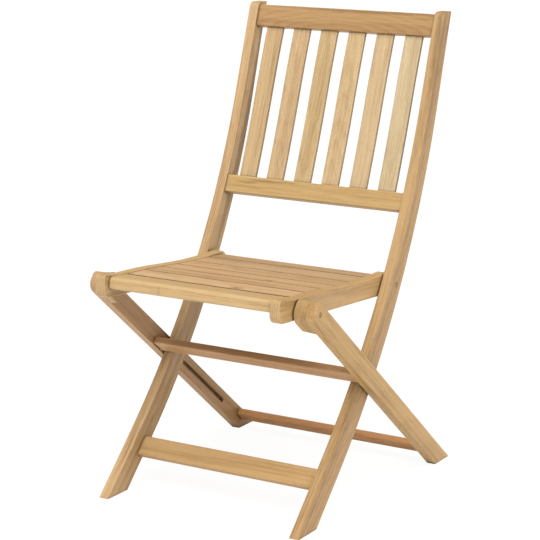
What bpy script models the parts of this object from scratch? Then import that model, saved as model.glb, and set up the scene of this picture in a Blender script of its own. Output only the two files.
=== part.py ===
"""Folding garden chair of slatted teak.

Two curved posts, each a front leg and a back stile in one piece, carry a back of upright slats. The
slatted seat turns on the posts. Two straight rear legs hang from the seat's front corners, outside the
posts, and run on guide pins that stand out of the posts into a groove in each leg.

Metres, +Z up, the front of the chair faces -Y, and left and right are as seen from the front (+X is
right). Side-view points are (y, z) pairs, with y measured back from the toe of the front feet. The
origin of the finished chair is the middle of its footprint, on the floor.
"""

from math import acos, atan2, cos, hypot, pi, radians, sin

import bmesh
import bpy

# Across the chair: distances from the middle plane.
SEAT_RAIL_IN = 0.1735
SEAT_RAIL_OUT = 0.1950
POST_IN = 0.1970
POST_OUT = 0.2170
HEAD_BLOCK_IN = 0.1973
LEG_IN = 0.2205
LEG_OUT = 0.2400

# Posts: straight at the foot, one long arc, straight at the top.
POST_TOP_Z = 0.8960
POST_FOOT_ANGLE = radians(44.64)
POST_BACK_ANGLE = radians(71.85)
POST_FOOT_LENGTH = 0.1650
POST_BEND_RADIUS = 1.5280
POST_FOOT_DEPTH = 0.0455
POST_TOP_DEPTH = 0.0255
POST_TAPER_POWER = 1.6
POST_PROUD = 0.0045
POST_TOP_RADIUS = 0.0140

# Pivots, side view.
SEAT_PIVOT = (0.3660, 0.3950)
LEG_PIVOT = (0.0275, 0.4105)
LEG_TILT = radians(38.4)
GUIDE_DISTANCE = 0.2850

# Rear legs, in the leg's own directions: s runs down the leg from its pivot, t points up and back.
LEG_HALF_DEPTH = 0.0193
LEG_HEAD_END = 0.0170
LEG_HEAD_RADII = (0.0120, 0.0192)
HEAD_BLOCK_FLARE = 0.0030
HEAD_BLOCK_LENGTH_IN = 0.0320
HEAD_BLOCK_LENGTH_OUT = 0.0450
GROOVE_START = 0.2795
GROOVE_END = 0.5385
GROOVE_WIDTH = 0.0090
GROOVE_DEPTH = 0.0080
STOP_BAR_S = (0.2210, 0.2585)
STOP_BAR_T = (-0.0163, -0.0023)
REAR_STRETCHER_S = (0.6065, 0.6365)
REAR_STRETCHER_T = (0.0000, 0.0150)

# Seat.
SEAT_NOSE_Y = -0.0355
SEAT_SCOOP = ((-0.0260, 0.4430, -0.250), (0.0250, 0.4345, -0.035),
              (0.1450, 0.4272, -0.100), (0.3200, 0.4155, -0.005), (0.3660, 0.4160, 0.000))
SEAT_RAIL_BOTTOM = ((-0.0100, 0.3988), (0.3260, 0.3774))
SEAT_TAIL_RADIUS = 0.0210
SLAT_DROP = 0.0015
SEAT_SLAT_PITCH = 0.0560
SEAT_SLAT_GAP = 0.0030
SEAT_SLAT_COUNT = 5
SEAT_SLAT_THICKNESS = 0.0120
FRONT_SLAT = ((-0.0210, 0.4380), (0.0365, 0.4322))
FRONT_SLAT_THICKNESS = 0.0225
REAR_SLAT_END = (0.3680, 0.4098)
REAR_SLAT_THICKNESS = 0.0160

# Back.
TOP_RAIL_Z = (0.8500, 0.8920)
LOWER_RAIL_Z = (0.5280, 0.5605)
RAIL_THICKNESS = 0.0190
BACK_SLAT_COUNT = 6
BACK_SLAT_OUTER_GAP = 0.0228
BACK_SLAT_WIDTH = 0.0370
BACK_SLAT_THICKNESS = 0.0085
BACK_SLAT_SETBACK = (0.0055, 0.0013)
BACK_SLAT_HOUSING = 0.0100
FRONT_STRETCHER_Z = (0.0805, 0.1090)
FRONT_STRETCHER_SETBACK = 0.0240
FRONT_STRETCHER_THICKNESS = 0.0130

# Joints and fits.
FIT_GAP = 0.0003
TENON_LENGTH = 0.0120
TENON_THICKNESS = 0.0080
TENON_SHOULDER = 0.0050
SLAT_TENON_LENGTH = 0.0080
SLAT_TENON_THICKNESS = 0.0050
PIN_RADIUS = 0.0035
PLUG_RADIUS = 0.0048
PLUG_LENGTH = 0.0045
PLUG_RECESS = 0.0006
PIN_INNER_END = 0.1765
GUIDE_PIN_INNER_END = 0.2030
GUIDE_PIN_OUTER_END = 0.2190
SEAT_WASHER_RADIUS = 0.0100
LEG_WASHER_RADIUS = 0.0095
ROUND_SIDES = 24

# Edge rounding.
EDGE_RADIUS = 0.0025
EDGE_SEGMENTS = 2
BEVEL_ANGLE = radians(50.0)
CORNER_STEPS = 2
ARC_STEPS = 16

# Colour, roughness and metallic value of each finish.
FINISHES = {
    "teak_frame": ((0.62, 0.43, 0.25), 0.55, 0.0),
    "teak_back": ((0.66, 0.48, 0.28), 0.55, 0.0),
    "teak_seat": ((0.64, 0.45, 0.28), 0.55, 0.0),
    "teak_legs": ((0.62, 0.44, 0.26), 0.55, 0.0),
    "steel": ((0.62, 0.61, 0.58), 0.35, 1.0),
}


def clear_scene():
    """Remove whatever objects the file already holds."""
    for item in list(bpy.data.objects):
        bpy.data.objects.remove(item, do_unlink=True)


def material(name, finish):
    """Make one Principled material for one sub-part."""
    colour, roughness, metallic = FINISHES[finish]
    made = bpy.data.materials.new(name)
    made.use_nodes = True
    shader = made.node_tree.nodes["Principled BSDF"]
    shader.inputs["Base Color"].default_value = (*colour, 1.0)
    shader.inputs["Roughness"].default_value = roughness
    shader.inputs["Metallic"].default_value = metallic
    made.diffuse_color = (*colour, 1.0)
    return made


# --- Side-view geometry -------------------------------------------------------------------------

def along(origin, angle, distance):
    """Step a distance from a side-view point at an angle above the horizontal."""
    return (origin[0] + distance * cos(angle), origin[1] + distance * sin(angle))


def arc(centre, radius, start, end, steps):
    """Points of a circular arc, both ends included."""
    turns = [start + (end - start) * i / steps for i in range(steps + 1)]
    return [along(centre, turn, radius) for turn in turns]


def round_corner(before, corner, after, radius, steps=CORNER_STEPS):
    """Replace a polygon's corner by an arc that touches both of its sides."""
    if radius <= 0.0:
        return [corner]
    a = atan2(before[1] - corner[1], before[0] - corner[0])
    b = atan2(after[1] - corner[1], after[0] - corner[0])
    turn = (b - a + pi) % (2.0 * pi) - pi
    middle = a + turn / 2.0
    centre = along(corner, middle, radius / sin(abs(turn) / 2.0))
    start = along(corner, a, radius / abs(sin(turn / 2.0)) * cos(turn / 2.0))
    end = along(corner, b, radius / abs(sin(turn / 2.0)) * cos(turn / 2.0))
    first = atan2(start[1] - centre[1], start[0] - centre[0])
    last = atan2(end[1] - centre[1], end[0] - centre[0])
    sweep = (last - first + pi) % (2.0 * pi) - pi
    return arc(centre, radius, first, first + sweep, steps)


def rounded(corners, radii):
    """Round each corner of a polygon by its own radius."""
    outline = []
    count = len(corners)
    for i, radius in enumerate(radii):
        outline += round_corner(corners[i - 1], corners[i], corners[(i + 1) % count], radius)
    return outline


def rectangle(centre, angle, half_length, half_thickness, radius=EDGE_RADIUS):
    """A rounded rectangle whose length lies at an angle above the horizontal."""
    corners = []
    for u, v in ((-1, -1), (1, -1), (1, 1), (-1, 1)):
        end = along(centre, angle, u * half_length)
        corners.append(along(end, angle + pi / 2.0, v * half_thickness))
    radii = radius if isinstance(radius, (list, tuple)) else (radius,) * 4
    return rounded(corners, radii)


# --- Posts --------------------------------------------------------------------------------------

BEND_START = along((0.0, 0.0), POST_FOOT_ANGLE, POST_FOOT_LENGTH)
BEND_CENTRE = along(BEND_START, POST_FOOT_ANGLE + pi / 2.0, POST_BEND_RADIUS)
BEND_END = along(BEND_CENTRE, POST_BACK_ANGLE - pi / 2.0, POST_BEND_RADIUS)
BEND_LENGTH = POST_BEND_RADIUS * (POST_BACK_ANGLE - POST_FOOT_ANGLE)
TOP_LENGTH = (POST_TOP_Z - BEND_END[1]) / sin(POST_BACK_ANGLE)


def post_angle(z):
    """Angle of a post's front edge above the horizontal, at a height."""
    if z <= BEND_START[1]:
        return POST_FOOT_ANGLE
    if z >= BEND_END[1]:
        return POST_BACK_ANGLE
    return acos((BEND_CENTRE[1] - z) / POST_BEND_RADIUS)


def post_front(z):
    """Point of a post's front edge at a height."""
    angle = post_angle(z)
    if z <= BEND_START[1]:
        return (z / sin(angle) * cos(angle), z)
    if z >= BEND_END[1]:
        return along(BEND_END, angle, (z - BEND_END[1]) / sin(angle))
    return (BEND_CENTRE[0] + POST_BEND_RADIUS * sin(angle), z)


def post_depth(run):
    """Depth of a post, from front to back, after a run of its bend and top."""
    share = min(1.0, run / (BEND_LENGTH + TOP_LENGTH))
    return POST_FOOT_DEPTH - (POST_FOOT_DEPTH - POST_TOP_DEPTH) * share ** POST_TAPER_POWER


def post_proud(run):
    """How far a post stands in front of the rails' line, after a run of its bend and top."""
    return POST_PROUD * run / (BEND_LENGTH + TOP_LENGTH)


def post_outline():
    """Side view of a post: up the front edge and down the back one."""
    front = [(0.0, 0.0)]
    back = [(POST_FOOT_DEPTH / sin(POST_FOOT_ANGLE), 0.0)]
    for i in range(ARC_STEPS + 1):
        share = i / ARC_STEPS
        angle = POST_FOOT_ANGLE + (POST_BACK_ANGLE - POST_FOOT_ANGLE) * share
        point = along(BEND_CENTRE, angle - pi / 2.0, POST_BEND_RADIUS)
        front.append(along(point, angle + pi / 2.0, post_proud(BEND_LENGTH * share)))
        back.append(along(point, angle - pi / 2.0, post_depth(BEND_LENGTH * share)))
    rail_top = post_front(POST_TOP_Z)
    front_top = along(rail_top, pi, POST_PROUD / sin(POST_BACK_ANGLE))
    back_top = along(rail_top, 0.0, POST_TOP_DEPTH / sin(POST_BACK_ANGLE))
    top = round_corner(front[-1], front_top, back_top, POST_TOP_RADIUS, 2 * CORNER_STEPS)
    top += round_corner(front_top, back_top, back[-1], EDGE_RADIUS)
    return front + top + back[::-1]


# --- Rear legs ----------------------------------------------------------------------------------

def leg_point(s, t):
    """Side-view point from a distance down the leg and a distance across it."""
    return along(along(LEG_PIVOT, -LEG_TILT, s), pi / 2.0 - LEG_TILT, t)


def leg_floor(t):
    """Distance down the leg at which a line along it meets the floor."""
    return (LEG_PIVOT[1] + t * cos(LEG_TILT)) / sin(LEG_TILT)


def leg_box(s_range, t_range, radius=EDGE_RADIUS):
    """Rounded rectangle that lies along the leg."""
    s_middle = sum(s_range) / 2.0
    t_middle = sum(t_range) / 2.0
    half_length = (s_range[1] - s_range[0]) / 2.0
    half_thickness = (t_range[1] - t_range[0]) / 2.0
    return rectangle(leg_point(s_middle, t_middle), -LEG_TILT, half_length, half_thickness, radius)


def leg_head(side_end, flare=0.0):
    """Blunt, rounded head of a leg and its straight sides, up to a distance down the leg."""
    half = LEG_HALF_DEPTH + flare
    end = LEG_HEAD_END + flare
    corners = [(side_end, half), (-end, half), (-end, -half), (side_end, -half)]
    upper = round_corner(corners[0], corners[1], corners[2], LEG_HEAD_RADII[0] + flare, ARC_STEPS // 2)
    lower = round_corner(corners[1], corners[2], corners[3], LEG_HEAD_RADII[1] + flare, ARC_STEPS // 2)
    return [leg_point(s, t) for s, t in [corners[0]] + upper + lower + [corners[3]]]


def leg_outline():
    """Side view of a rear leg, cut level at the floor."""
    head = leg_head(0.0)
    heel = leg_point(leg_floor(LEG_HALF_DEPTH), LEG_HALF_DEPTH)
    toe = leg_point(leg_floor(-LEG_HALF_DEPTH), -LEG_HALF_DEPTH)
    return [heel] + head[1:-1] + [toe]


# --- Seat ---------------------------------------------------------------------------------------

def hermite(start, end, y):
    """Height of a smooth curve between two points that each state (y, z, slope)."""
    span = end[0] - start[0]
    u = (y - start[0]) / span
    rise = start[1] * (2 * u ** 3 - 3 * u ** 2 + 1) + end[1] * (3 * u ** 2 - 2 * u ** 3)
    return rise + span * (start[2] * (u ** 3 - 2 * u ** 2 + u) + end[2] * (u ** 3 - u ** 2))


def seat_top(y):
    """Height of the seat rails' scooped top edge."""
    for first, second in zip(SEAT_SCOOP, SEAT_SCOOP[1:]):
        if y <= second[0]:
            break
    return hermite(first, second, y)


def seat_rail_outline():
    """Side view of a seat rail: nose, scooped top, round tail, straight underside."""
    top_start = SEAT_SCOOP[0][:2]
    bottom_start = SEAT_RAIL_BOTTOM[0]
    nose = rounded([(SEAT_NOSE_Y, bottom_start[1]), (SEAT_NOSE_Y, seat_top(top_start[0]) + 0.0010)],
                   (0.0, 0.0))
    lower = round_corner(bottom_start, nose[0], nose[1], 0.0150, 2 * CORNER_STEPS)
    upper = round_corner(nose[0], nose[1], top_start, 0.0080, 2 * CORNER_STEPS)
    span = SEAT_PIVOT[0] - top_start[0]
    top = []
    for i in range(1, 2 * ARC_STEPS):
        y = top_start[0] + span * i / (2 * ARC_STEPS)
        top.append((y, seat_top(y)))
    slope = atan2(SEAT_RAIL_BOTTOM[1][1] - bottom_start[1], SEAT_RAIL_BOTTOM[1][0] - bottom_start[0])
    end = arc(SEAT_PIVOT, SEAT_TAIL_RADIUS, pi / 2.0, slope - pi / 2.0, ARC_STEPS)
    return lower + upper + top + end + [bottom_start]


def slat_axis(first, last, thickness):
    """Centre, angle and length of a slat whose top runs between two side-view points."""
    angle = atan2(last[1] - first[1], last[0] - first[0])
    middle = ((first[0] + last[0]) / 2.0, (first[1] + last[1]) / 2.0)
    centre = along(middle, angle - pi / 2.0, thickness / 2.0)
    return centre, angle, hypot(last[0] - first[0], last[1] - first[1])


def slat_top(y):
    """Side-view point of the slats' top, a little below the rails' top."""
    return (y, seat_top(y) - SLAT_DROP)


# --- Solids -------------------------------------------------------------------------------------

def floor_middle():
    """Middle of the chair's depth, measured from the front toes."""
    foot_back = leg_point(leg_floor(LEG_HALF_DEPTH), LEG_HALF_DEPTH)[0]
    post_back = post_front(POST_TOP_Z)[0] + POST_TOP_DEPTH / sin(POST_BACK_ANGLE)
    return (max(foot_back, post_back) + SEAT_NOSE_Y) / 2.0


MIDDLE_Y = floor_middle()


def build(name, loops, origin, finish):
    """Skin a row of equal side-view loops, each (x, outline), and close both ends."""
    shape = bmesh.new()
    rings = []
    for x, outline in loops:
        ring = [shape.verts.new((x, y - origin[0], z - origin[1])) for y, z in outline]
        rings.append(ring)
    count = len(rings[0])
    for near, far in zip(rings, rings[1:]):
        for i in range(count):
            j = (i + 1) % count
            shape.faces.new((near[i], near[j], far[j], far[i]))
    shape.faces.new(rings[0])
    shape.faces.new(rings[-1][::-1])
    bmesh.ops.recalc_face_normals(shape, faces=shape.faces)
    mesh = bpy.data.meshes.new(name)
    shape.to_mesh(mesh)
    shape.free()
    item = bpy.data.objects.new(name, mesh)
    item.location = (0.0, origin[0] - MIDDLE_Y, origin[1])
    bpy.context.scene.collection.objects.link(item)
    if finish:
        mesh.materials.append(material(name, finish))
    return item


def plate(name, outline, x_start, x_end, origin, finish, bevel=EDGE_RADIUS):
    """A flat board cut to a side-view outline, with softened edges."""
    item = build(name, [(x_start, outline), (x_end, outline)], origin, finish)
    if bevel:
        soften(item, bevel)
    return item


def soften(item, width):
    """Round the long edges of a board."""
    rounding = item.modifiers.new("edge_rounding", "BEVEL")
    rounding.width = width
    rounding.segments = EDGE_SEGMENTS
    rounding.limit_method = "ANGLE"
    rounding.angle_limit = BEVEL_ANGLE


def cylinder(name, centre, radius, x_start, x_end, origin, finish):
    """A round solid that lies across the chair."""
    step = 2.0 * pi / ROUND_SIDES
    outline = [along(centre, step * i, radius) for i in range(ROUND_SIDES)]
    item = build(name, [(x_start, outline), (x_end, outline)], origin, finish)
    if finish:
        item.data.shade_smooth()
        item.data.set_sharp_from_angle(angle=BEVEL_ANGLE)
    return item


def washer(name, centre, radius, x_start, x_end, origin, finish):
    """A flat ring that lies across the chair, with a running hole for a pin."""
    ring = cylinder(name, centre, radius, x_start, x_end, origin, finish)
    reach = 0.001 if x_end > x_start else -0.001
    hole = bore(name, centre, PIN_RADIUS + FIT_GAP, x_start - reach, x_end + reach, origin)
    cut(ring, hole)
    return ring


def cutter(item):
    """Mark a solid as a tool that is not part of the chair."""
    item.hide_render = True
    item.display_type = "WIRE"
    return item


def bore(name, centre, radius, x_start, x_end, origin):
    """Tool for a round hole."""
    return cutter(cylinder(name + "_bore", centre, radius, x_start, x_end, origin, None))


def mortise(name, outline, x_start, x_end, origin):
    """Tool for a mortise or groove of any outline."""
    return cutter(build(name + "_mortise", [(x_start, outline), (x_end, outline)], origin, None))


def cut(item, tool):
    """Take a tool's shape out of a piece."""
    removal = item.modifiers.new(tool.name, "BOOLEAN")
    removal.operation = "DIFFERENCE"
    removal.solver = "EXACT"
    removal.object = tool


def crossbar(name, centre, angle, length, thickness, half_span, origin, finish,
             radii=EDGE_RADIUS, tenon=(TENON_LENGTH, TENON_THICKNESS)):
    """A board across the chair with a stub tenon on each end; returns it and its tenon outline."""
    body = rectangle(centre, angle, length / 2.0, thickness / 2.0, radii)
    half_tenon = length / 2.0 - TENON_SHOULDER
    tongue = rectangle(centre, angle, half_tenon, tenon[1] / 2.0, tenon[1] / 8.0)
    span = half_span - FIT_GAP
    tip = half_span + tenon[0]
    loops = [(-tip, tongue), (-span, tongue), (-span, body), (span, body), (span, tongue), (tip, tongue)]
    item = build(name, loops, origin, finish)
    pocket = rectangle(centre, angle, half_tenon + FIT_GAP, tenon[1] / 2.0 + FIT_GAP, tenon[1] / 8.0)
    return item, pocket


def sides():
    """Both sides of the chair with the sign of X."""
    return (("left", -1.0), ("right", 1.0))


# --- Assemblies ---------------------------------------------------------------------------------

def make_posts(pockets):
    """The two curved posts, with their mortises and pin bores."""
    outline = post_outline()
    foot = (0.0, 0.0)
    guide = leg_point(GUIDE_DISTANCE, 0.0)
    for side, sign in sides():
        name = side + "_post"
        post = plate(name, outline, sign * POST_IN, sign * POST_OUT, foot, "teak_frame")
        for label, pocket in pockets:
            cut(post, mortise(name + label, pocket, sign * (POST_IN - 0.002),
                              sign * (POST_IN + TENON_LENGTH + FIT_GAP), foot))
        cut(post, bore(name + "_seat", SEAT_PIVOT, PIN_RADIUS + FIT_GAP, sign * (POST_IN - 0.002),
                       sign * (POST_OUT - PLUG_LENGTH / 2.0), foot))
        cut(post, bore(name + "_plug", SEAT_PIVOT, PLUG_RADIUS + FIT_GAP,
                       sign * (POST_OUT - PLUG_LENGTH - FIT_GAP), sign * (POST_OUT + 0.002), foot))
        cut(post, bore(name + "_guide", guide, PIN_RADIUS + FIT_GAP,
                       sign * (GUIDE_PIN_INNER_END - FIT_GAP), sign * (POST_OUT + 0.002), foot))


def make_back():
    """Back rails, upright slats and the front stretcher; returns the mortises the posts need."""
    foot = (0.0, 0.0)
    pockets = []
    rails = []
    boards = (("top_back_rail", TOP_RAIL_Z, 0.0, RAIL_THICKNESS, "teak_back"),
              ("lower_back_rail", LOWER_RAIL_Z, 0.0, RAIL_THICKNESS, "teak_back"),
              ("front_stretcher", FRONT_STRETCHER_Z, FRONT_STRETCHER_SETBACK,
               FRONT_STRETCHER_THICKNESS, "teak_frame"))
    for name, heights, setback, thickness, finish in boards:
        low = post_front(heights[0])
        high = post_front(heights[1])
        angle = atan2(high[1] - low[1], high[0] - low[0])
        middle = ((low[0] + high[0]) / 2.0, (low[1] + high[1]) / 2.0)
        centre = along(middle, angle - pi / 2.0, setback + thickness / 2.0)
        length = hypot(high[0] - low[0], high[1] - low[1])
        rail, pocket = crossbar(name, centre, angle, length, thickness, POST_IN, foot, finish)
        pockets.append((name, pocket))
        rails.append(rail)
    make_back_slats(rails[0], rails[1])
    return [("_" + name, pocket) for name, pocket in pockets]


def make_back_slats(top_rail, lower_rail):
    """Six gently curved upright slats, housed in the two back rails."""
    board = back_slat_outline(0.0)
    room = back_slat_outline(FIT_GAP)
    pitch = back_slat_pitch()
    for i in range(BACK_SLAT_COUNT):
        start = -POST_IN + BACK_SLAT_OUTER_GAP + i * pitch
        end = start + BACK_SLAT_WIDTH
        name = "back_slat_" + str(i + 1)
        plate(name, board, start, end, (0.0, 0.0), "teak_back", 0.0015)
        tool = mortise(name, room, start - FIT_GAP, end + FIT_GAP, (0.0, 0.0))
        cut(top_rail, tool)
        cut(lower_rail, tool)


def back_slat_pitch():
    """Distance from one back slat to the next, with the outer gaps a little narrower."""
    room = 2.0 * (POST_IN - BACK_SLAT_OUTER_GAP) - BACK_SLAT_WIDTH
    return room / (BACK_SLAT_COUNT - 1)


def back_slat_outline(spare):
    """Side view of a back slat, made larger all round by a spare amount."""
    low = LOWER_RAIL_Z[1] - BACK_SLAT_HOUSING - spare
    high = TOP_RAIL_Z[0] + BACK_SLAT_HOUSING + spare
    front = []
    back = []
    for i in range(ARC_STEPS // 2 + 1):
        z = low + (high - low) * i / (ARC_STEPS // 2)
        reach = 4.0 * (i / (ARC_STEPS // 2) - 0.5) ** 2
        setback = BACK_SLAT_SETBACK[1] + (BACK_SLAT_SETBACK[0] - BACK_SLAT_SETBACK[1]) * reach
        angle = post_angle(z)
        front.append(along(post_front(z), angle - pi / 2.0, setback - spare))
        back.append(along(post_front(z), angle - pi / 2.0, setback + BACK_SLAT_THICKNESS + spare))
    return front + back[::-1]


def make_seat():
    """Seat rails and slats, built about the seat pivot."""
    nose_radii = (0.0040, EDGE_RADIUS, EDGE_RADIUS, 0.0080)
    pockets = [make_slat("front_seat_slat", FRONT_SLAT[0], FRONT_SLAT[1], FRONT_SLAT_THICKNESS, nose_radii)]
    start = FRONT_SLAT[1][0] + SEAT_SLAT_GAP
    for i in range(SEAT_SLAT_COUNT):
        end = start + SEAT_SLAT_PITCH - SEAT_SLAT_GAP
        name = "seat_slat_" + str(i + 1)
        pockets.append(make_slat(name, slat_top(start), slat_top(end), SEAT_SLAT_THICKNESS))
        start += SEAT_SLAT_PITCH
    pockets.append(make_slat("rear_seat_slat", slat_top(start), REAR_SLAT_END, REAR_SLAT_THICKNESS))
    outline = seat_rail_outline()
    for side, sign in sides():
        name = side + "_seat_rail"
        rail = plate(name, outline, sign * SEAT_RAIL_IN, sign * SEAT_RAIL_OUT, SEAT_PIVOT, "teak_seat")
        for label, pocket in pockets:
            cut(rail, mortise(name + "_" + label, pocket, sign * (SEAT_RAIL_IN - 0.002),
                              sign * (SEAT_RAIL_IN + SLAT_TENON_LENGTH + FIT_GAP), SEAT_PIVOT))
        for label, centre in (("_seat", SEAT_PIVOT), ("_leg", LEG_PIVOT)):
            cut(rail, bore(name + label, centre, PIN_RADIUS + FIT_GAP,
                           sign * (PIN_INNER_END - FIT_GAP), sign * (SEAT_RAIL_OUT + 0.002), SEAT_PIVOT))


def make_slat(name, first, last, thickness, radii=EDGE_RADIUS):
    """One seat slat with a stub tenon on each end; returns its name and mortise outline."""
    centre, angle, length = slat_axis(first, last, thickness)
    _, pocket = crossbar(name, centre, angle, length, thickness, SEAT_RAIL_IN, SEAT_PIVOT, "teak_seat",
                         radii, (SLAT_TENON_LENGTH, SLAT_TENON_THICKNESS))
    return name, pocket


def make_legs():
    """Rear legs with their head blocks, the stop bar and the rear stretcher."""
    pockets = []
    for name, s_range, t_range in (("stop_bar", STOP_BAR_S, STOP_BAR_T),
                                   ("rear_stretcher", REAR_STRETCHER_S, REAR_STRETCHER_T)):
        centre = leg_point(sum(s_range) / 2.0, sum(t_range) / 2.0)
        _, pocket = crossbar(name, centre, -LEG_TILT, s_range[1] - s_range[0],
                             t_range[1] - t_range[0], LEG_IN, LEG_PIVOT, "teak_legs")
        pockets.append((name, pocket))
    groove = leg_box((GROOVE_START, GROOVE_END), (-GROOVE_WIDTH / 2.0, GROOVE_WIDTH / 2.0), 0.0040)
    pockets.append(("groove", groove))
    outline = leg_outline()
    for side, sign in sides():
        name = side + "_rear_leg"
        leg = plate(name, outline, sign * LEG_IN, sign * LEG_OUT, LEG_PIVOT, "teak_legs")
        for label, pocket in pockets:
            depth = GROOVE_DEPTH if label == "groove" else TENON_LENGTH + FIT_GAP
            cut(leg, mortise(name + "_" + label, pocket, sign * (LEG_IN - 0.002),
                             sign * (LEG_IN + depth), LEG_PIVOT))
        cut(leg, bore(name + "_pin", LEG_PIVOT, PIN_RADIUS + FIT_GAP, sign * (LEG_IN - 0.002),
                      sign * (LEG_OUT - PLUG_LENGTH / 2.0), LEG_PIVOT))
        cut(leg, bore(name + "_plug", LEG_PIVOT, PLUG_RADIUS + FIT_GAP,
                      sign * (LEG_OUT - PLUG_LENGTH - FIT_GAP), sign * (LEG_OUT + 0.002), LEG_PIVOT))
        make_head_block(side, sign)


def make_head_block(side, sign):
    """The block that thickens a leg's head up to the seat rail, sloped at its lower end."""
    near = leg_head(HEAD_BLOCK_LENGTH_IN, HEAD_BLOCK_FLARE)
    far = leg_head(HEAD_BLOCK_LENGTH_OUT)
    name = side + "_leg_head_block"
    block = build(name, [(sign * HEAD_BLOCK_IN, near), (sign * (LEG_IN - FIT_GAP), far)],
                  LEG_PIVOT, "teak_legs")
    soften(block, 0.0015)
    cut(block, bore(name, LEG_PIVOT, PIN_RADIUS + FIT_GAP, sign * (HEAD_BLOCK_IN - 0.002),
                    sign * (LEG_IN + 0.002), LEG_PIVOT))


def make_hardware():
    """Pivot pins, washers, plugs and the guide pins that run in the legs' grooves."""
    guide = leg_point(GUIDE_DISTANCE, 0.0)
    for side, sign in sides():
        cylinder(side + "_seat_pivot_pin", SEAT_PIVOT, PIN_RADIUS, sign * PIN_INNER_END,
                 sign * (POST_OUT - PLUG_LENGTH - 2 * FIT_GAP), SEAT_PIVOT, "steel")
        cylinder(side + "_seat_pivot_plug", SEAT_PIVOT, PLUG_RADIUS,
                 sign * (POST_OUT - PLUG_LENGTH), sign * (POST_OUT - PLUG_RECESS), SEAT_PIVOT, "teak_frame")
        washer(side + "_seat_pivot_washer", SEAT_PIVOT, SEAT_WASHER_RADIUS,
               sign * (SEAT_RAIL_OUT + FIT_GAP), sign * (POST_IN - FIT_GAP), SEAT_PIVOT, "steel")
        cylinder(side + "_leg_pivot_pin", LEG_PIVOT, PIN_RADIUS, sign * PIN_INNER_END,
                 sign * (LEG_OUT - PLUG_LENGTH - 2 * FIT_GAP), LEG_PIVOT, "steel")
        cylinder(side + "_leg_pivot_plug", LEG_PIVOT, PLUG_RADIUS,
                 sign * (LEG_OUT - PLUG_LENGTH), sign * (LEG_OUT - PLUG_RECESS), LEG_PIVOT, "teak_legs")
        washer(side + "_leg_pivot_washer", LEG_PIVOT, LEG_WASHER_RADIUS,
               sign * (SEAT_RAIL_OUT + FIT_GAP), sign * (HEAD_BLOCK_IN - FIT_GAP), LEG_PIVOT, "steel")
        cylinder(side + "_guide_pin", guide, PIN_RADIUS, sign * GUIDE_PIN_INNER_END,
                 sign * GUIDE_PIN_OUTER_END, guide, "steel")


def main():
    clear_scene()
    make_posts(make_back())
    make_seat()
    make_legs()
    make_hardware()


main()
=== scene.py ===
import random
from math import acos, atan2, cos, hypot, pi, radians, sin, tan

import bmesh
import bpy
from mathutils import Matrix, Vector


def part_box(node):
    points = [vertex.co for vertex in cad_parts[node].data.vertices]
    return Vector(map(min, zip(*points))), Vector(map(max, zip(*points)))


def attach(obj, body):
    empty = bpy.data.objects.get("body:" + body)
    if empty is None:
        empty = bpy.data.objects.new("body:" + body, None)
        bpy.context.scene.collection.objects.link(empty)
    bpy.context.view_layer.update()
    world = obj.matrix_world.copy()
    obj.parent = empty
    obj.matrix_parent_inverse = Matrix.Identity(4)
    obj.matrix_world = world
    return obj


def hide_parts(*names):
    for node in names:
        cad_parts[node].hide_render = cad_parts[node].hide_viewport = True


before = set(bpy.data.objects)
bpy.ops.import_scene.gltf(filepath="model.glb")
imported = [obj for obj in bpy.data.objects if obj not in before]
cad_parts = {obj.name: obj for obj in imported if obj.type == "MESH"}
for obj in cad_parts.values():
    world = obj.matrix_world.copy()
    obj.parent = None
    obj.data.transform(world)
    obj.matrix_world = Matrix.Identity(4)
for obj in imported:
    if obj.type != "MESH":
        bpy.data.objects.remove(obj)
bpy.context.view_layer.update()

# Looks of a slatted teak folding chair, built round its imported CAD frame.
#
# Metres. Side-view points are (y, z) pairs with y measured back from the toe of the front feet.
# Every wooden piece is a mesh of its own, NODE_wood, that stands for the CAD node NODE. Three
# attributes of each mesh drive the wood: "grain" (along, across and through the board), "ring"
# (place in the tree's cross-section) and "wear" (1 on rounded edges).

# Across the chair: distances from the middle plane.
SEAT_RAIL_IN = 0.1735
SEAT_RAIL_OUT = 0.1950
POST_IN = 0.1970
POST_OUT = 0.2170
HEAD_BLOCK_IN = 0.1973
LEG_IN = 0.2205
LEG_OUT = 0.2400

# Posts.
POST_TOP_Z = 0.8960
POST_FOOT_ANGLE = radians(44.64)
POST_BACK_ANGLE = radians(71.85)
POST_FOOT_LENGTH = 0.1650
POST_BEND_RADIUS = 1.5280
POST_FOOT_DEPTH = 0.0455
POST_TOP_DEPTH = 0.0255
POST_TAPER_POWER = 1.6
POST_PROUD = 0.0045
POST_TOP_RADIUS = 0.0140

# Pivots and rear legs: s runs down the leg from its pivot, t points up and back.
SEAT_PIVOT = (0.3660, 0.3950)
LEG_PIVOT = (0.0275, 0.4105)
LEG_TILT = radians(38.4)
LEG_HALF_DEPTH = 0.0193
LEG_HEAD_END = 0.0170
LEG_HEAD_RADII = (0.0120, 0.0192)
HEAD_BLOCK_FLARE = 0.0030
HEAD_BLOCK_LENGTH_IN = 0.0320
HEAD_BLOCK_LENGTH_OUT = 0.0450
GROOVE_S = (0.2795, 0.5385)
GROOVE_WIDTH = 0.0090
GROOVE_DEPTH = 0.0080
STOP_BAR_S = (0.2210, 0.2585)
STOP_BAR_T = (-0.0163, -0.0023)
REAR_STRETCHER_S = (0.6065, 0.6365)
REAR_STRETCHER_T = (0.0000, 0.0150)

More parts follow.
